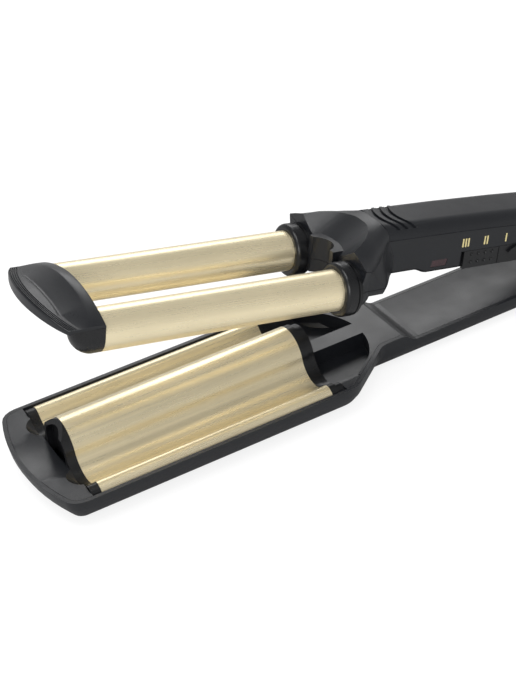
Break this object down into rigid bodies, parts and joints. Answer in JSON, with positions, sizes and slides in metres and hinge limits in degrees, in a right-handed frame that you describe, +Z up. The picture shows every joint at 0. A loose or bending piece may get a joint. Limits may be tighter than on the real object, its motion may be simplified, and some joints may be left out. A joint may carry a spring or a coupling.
{
  "type": "hair waver",
  "caption": "Hair waver with two heated barrels on a sprung upper arm that shuts into a wave-shaped heated plate on a lower arm, with a slide switch on the handle.",
  "frame": {"origin": "on the resting face of the lower arm, straight below the hinge pin", "axes": "+X along the lower arm from the jaws towards the tail, +Y towards the far side, +Z up; the switch is on the -Y side"},
  "size_m": [0.349, 0.0828, 0.0976],
  "materials": {
    "shell_plastic": "satin",
    "cover_plastic": "satin",
    "dark_plastic": "satin",
    "ceramic_coat": "satin champagne coat",
    "spreader_metal": "plain",
    "heater_stone": "plain",
    "steel": "plain",
    "bush_metal": "plain",
    "washer_plastic": "plain",
    "lead_rubber": "plain",
    "board": "plain",
    "white_plastic": "plain",
    "switch_plastic": "plain",
    "led_red": "gloss",
    "gold_print": "print"
  },
  "bodies": {
    "lower_arm": {"lower_shell": "shell_plastic", "lower_cover": "cover_plastic", "wave_plate": "ceramic_coat", "plate_end_front": "dark_plastic", "plate_end_rear": "dark_plastic", "plate_spreader": "spreader_metal", "plate_heater": "heater_stone", "heater_clip": "steel", "thermal_fuse": "steel", "lower_leads": "lead_rubber", "lower_screws": "steel", "hinge_pin": "steel", "hinge_washers": "washer_plastic", "hinge_caps": "dark_plastic", "hinge_spring": "steel"},
    "upper_arm": {"handle_base": "shell_plastic", "handle_top": "cover_plastic", "head_sides": "shell_plastic", "head_cap": "cover_plastic", "head_bottom": "shell_plastic", "tail_cap": "shell_plastic", "hinge_bushes": "bush_metal", "barrel_near": "ceramic_coat", "barrel_far": "ceramic_coat", "collar_near": "dark_plastic", "collar_far": "dark_plastic", "tip_rest": "cover_plastic", "tip_base": "dark_plastic", "tip_screws": "steel", "barrel_spreaders": "spreader_metal", "barrel_heaters": "heater_stone", "barrel_insulators": "heater_stone", "upper_leads": "lead_rubber", "control_board": "board", "terminal_block": "white_plastic", "switch_body": "switch_plastic", "power_led": "led_red", "led_window": "led_red", "setting_marks": "gold_print", "handle_screws": "steel"},
    "switch_slider": {"slide_button": "dark_plastic"},
    "cord_inlet": {"cord_swivel": "dark_plastic", "swivel_clip": "steel"}
  },
  "joints": [
    {"name": "jaw_hinge", "type": "hinge", "parent": "lower_arm", "child": "upper_arm", "pos_m": [0, 0, 0.014], "axis": [0, 1, 0], "range_deg": [-12.86, 0], "stiffness_Nm_per_rad": 1.6, "springref_deg": 25.78, "deforming": ["hinge_spring"]},
    {"name": "switch_slide", "type": "slide", "parent": "upper_arm", "child": "switch_slider", "axis": [0.9749, 0, -0.2226], "range_m": [0, 0.0354]},
    {"name": "cord_turn", "type": "hinge", "parent": "upper_arm", "child": "cord_inlet", "pos_m": [0.03189, 0, 0.01889], "axis": [0.9749, 0, -0.2226], "continuous": true}
  ]
}
